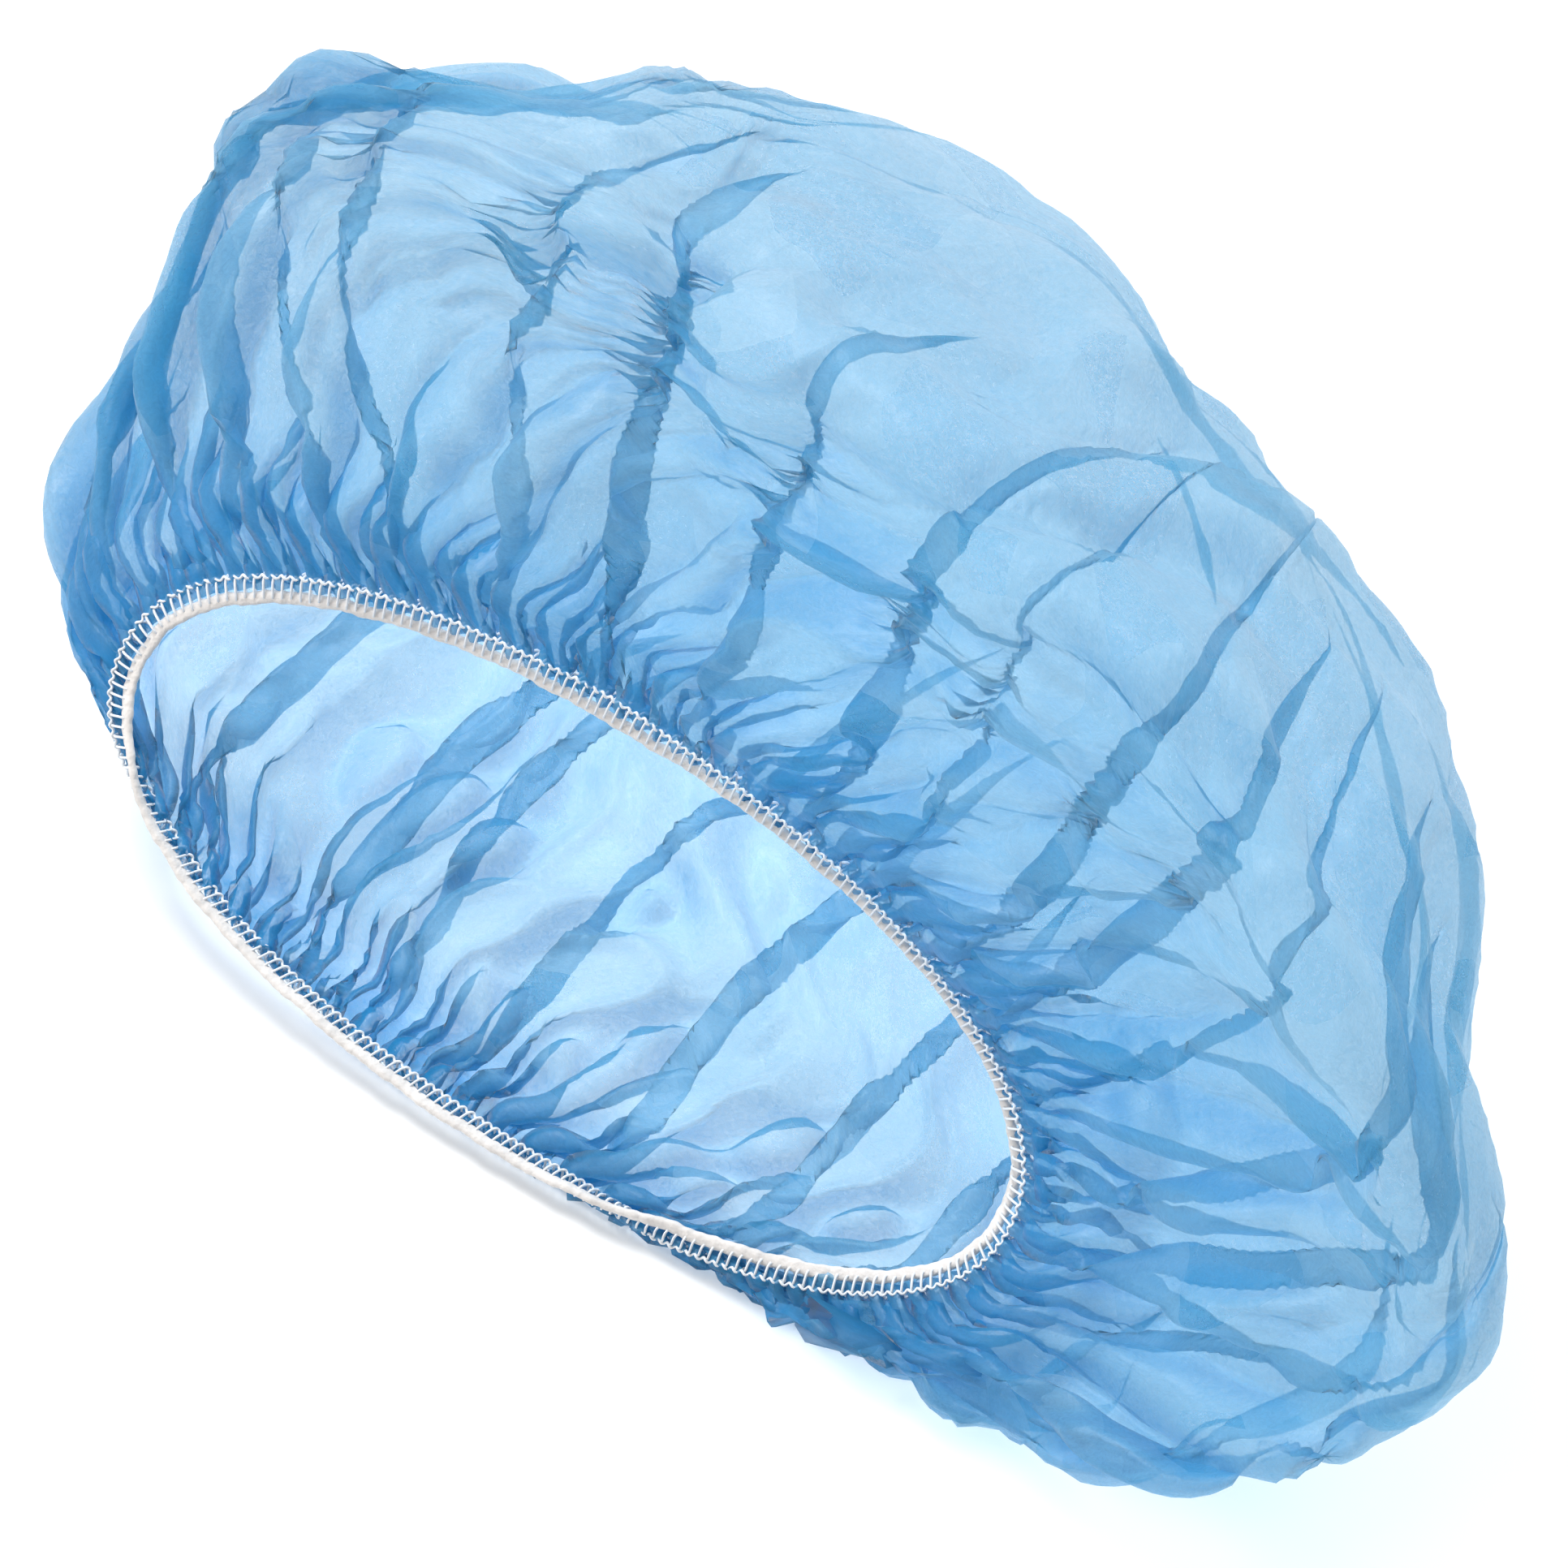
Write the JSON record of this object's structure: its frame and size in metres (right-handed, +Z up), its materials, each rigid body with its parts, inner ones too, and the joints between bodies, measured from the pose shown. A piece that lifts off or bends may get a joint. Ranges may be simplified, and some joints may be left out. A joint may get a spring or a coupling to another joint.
{
  "type": "disposable bouffant cap",
  "caption": "Disposable bouffant cap of light blue nonwoven cloth, gathered onto an elastic hem, puffed out and lying on its side.",
  "frame": {"origin": "middle of the outline seen from above, on the surface that the cap lies on", "axes": "+Z up, +X along the puffed body's long way, +Y from the opening towards the crown's middle"},
  "size_m": [0.2772, 0.1638, 0.1212],
  "materials": {
    "nonwoven_cloth": "matt, thin, lets light through",
    "elastic": "matt, covered with fibres"
  },
  "bodies": {
    "root": {"crown": "nonwoven_cloth", "elastic_band": "elastic"}
  },
  "joints": []
}
